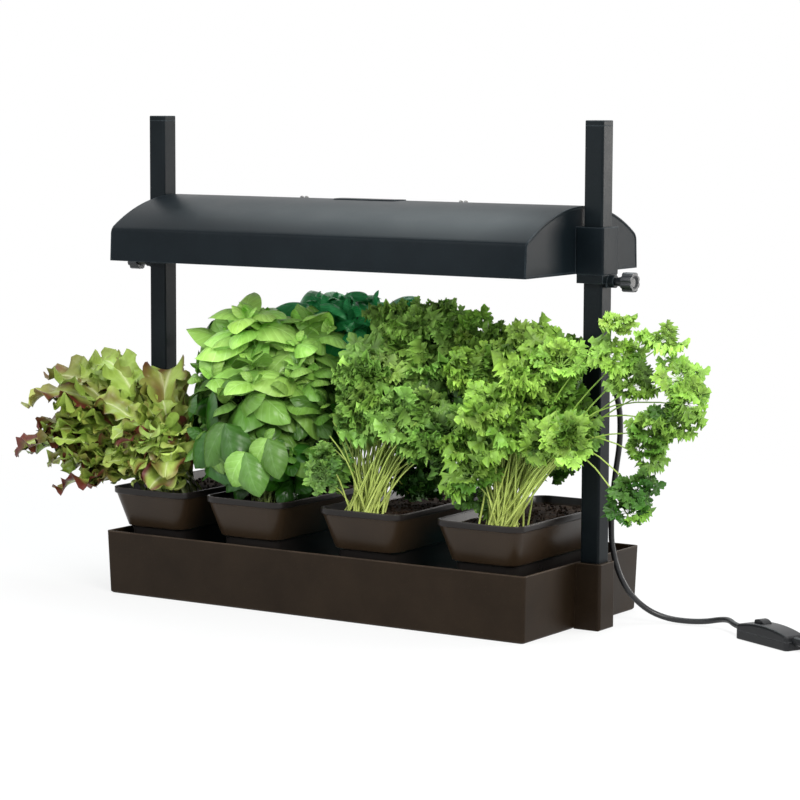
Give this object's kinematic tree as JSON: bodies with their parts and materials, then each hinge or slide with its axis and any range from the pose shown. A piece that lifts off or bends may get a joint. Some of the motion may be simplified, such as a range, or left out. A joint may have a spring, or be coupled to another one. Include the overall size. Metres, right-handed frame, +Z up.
{
  "type": "countertop hydroponic herb garden",
  "caption": "Rectangular planter tray with two square posts, a height-adjustable arched lamp hood, potted herbs and a mains cord.",
  "frame": {"origin": "middle of the tray's flat underside, on the table", "axes": "+X along the tray to the right end with the cord, +Y to the rear, +Z up"},
  "size_m": [1.2429, 0.278, 0.6025],
  "materials": {
    "brown_plastic": "satin",
    "anthracite_paint": "satin",
    "black_plastic": "satin",
    "grey_knob": "satin",
    "teal_felt": "matte",
    "steel": "satin",
    "white_paint": "gloss",
    "bright_aluminium": "polished",
    "white_lamp_glass": "satin",
    "white_plastic": "satin",
    "brass": "satin",
    "cord_rubber": "satin",
    "potting_soil": "matte",
    "lettuce_leaf": "satin",
    "basil_leaf": "satin",
    "parsley_leaf": "satin"
  },
  "bodies": {
    "base": {"tray": "brown_plastic", "pot_deck": "black_plastic", "capillary_mat": "teal_felt", "foot_screws": "steel", "left_post_foot": "brown_plastic", "right_post_foot": "brown_plastic", "left_post": "anthracite_paint", "right_post": "anthracite_paint", "left_post_cap": "black_plastic", "right_post_cap": "black_plastic", "cord_drop": "cord_rubber", "cord_run": "cord_rubber", "switch_lower_shell": "black_plastic", "switch_upper_shell": "black_plastic", "switch_screws": "steel", "switch_relief": "black_plastic", "cord_lead": "cord_rubber", "cord_coil": "cord_rubber", "cord_plug_lead": "cord_rubber", "plug_body": "black_plastic", "plug_pins": "brass"},
    "hood": {"hood_shell": "anthracite_paint", "left_hood_end": "anthracite_paint", "right_hood_end": "anthracite_paint", "left_clamp_sleeve": "black_plastic", "right_clamp_sleeve": "black_plastic", "ridge_cover": "anthracite_paint", "fixture_screws": "steel", "fixture_spacers": "steel", "lamp_housing": "white_paint", "reflector": "bright_aluminium", "ballast": "white_paint", "terminal_block": "white_plastic", "front_lamp_tube": "white_lamp_glass", "rear_lamp_tube": "white_lamp_glass", "front_lamp_caps": "bright_aluminium", "rear_lamp_caps": "bright_aluminium", "left_lamp_holders": "white_plastic", "right_lamp_holders": "white_plastic", "cord_gland": "black_plastic"},
    "left_knob": {"left_clamp_knob": "grey_knob"},
    "right_knob": {"right_clamp_knob": "grey_knob"},
    "rocker": {"switch_rocker": "black_plastic"},
    "planted_pot_1": {"pot_1": "brown_plastic", "soil_1": "potting_soil", "lettuce_plant": "lettuce_leaf"},
    "planted_pot_2": {"pot_2": "brown_plastic", "soil_2": "potting_soil", "basil_plant": "basil_leaf"},
    "planted_pot_3": {"pot_3": "brown_plastic", "soil_3": "potting_soil", "front_parsley_plant": "parsley_leaf"},
    "planted_pot_4": {"pot_4": "brown_plastic", "soil_4": "potting_soil", "rear_parsley_plant": "parsley_leaf"}
  },
  "joints": [
    {"name": "hood_slide", "type": "slide", "parent": "base", "child": "hood", "axis": [0, 0, 1], "range_m": [-0.015, 0.11], "deforming": ["cord_drop"]},
    {"name": "left_knob_turn", "type": "hinge", "parent": "hood", "child": "left_knob", "pos_m": [-0.36, 0, 0.4145], "axis": [1, 0, 0], "continuous": true},
    {"name": "right_knob_turn", "type": "hinge", "parent": "hood", "child": "right_knob", "pos_m": [0.36, 0, 0.4145], "axis": [1, 0, 0], "continuous": true},
    {"name": "switch_rock", "type": "hinge", "parent": "base", "child": "rocker", "pos_m": [0.52725, 0.03448, 0.0175], "axis": [-0.4329, -0.9015, 0], "range_deg": [0, 14]},
    {"name": "pot_1_lift", "type": "slide", "parent": "base", "child": "planted_pot_1", "axis": [0, 0, 1], "range_m": [0, 0.03]},
    {"name": "pot_2_lift", "type": "slide", "parent": "base", "child": "planted_pot_2", "axis": [0, 0, 1], "range_m": [0, 0.03]},
    {"name": "pot_3_lift", "type": "slide", "parent": "base", "child": "planted_pot_3", "axis": [0, 0, 1], "range_m": [0, 0.03]},
    {"name": "pot_4_lift", "type": "slide", "parent": "base", "child": "planted_pot_4", "axis": [0, 0, 1], "range_m": [0, 0.03]}
  ]
}
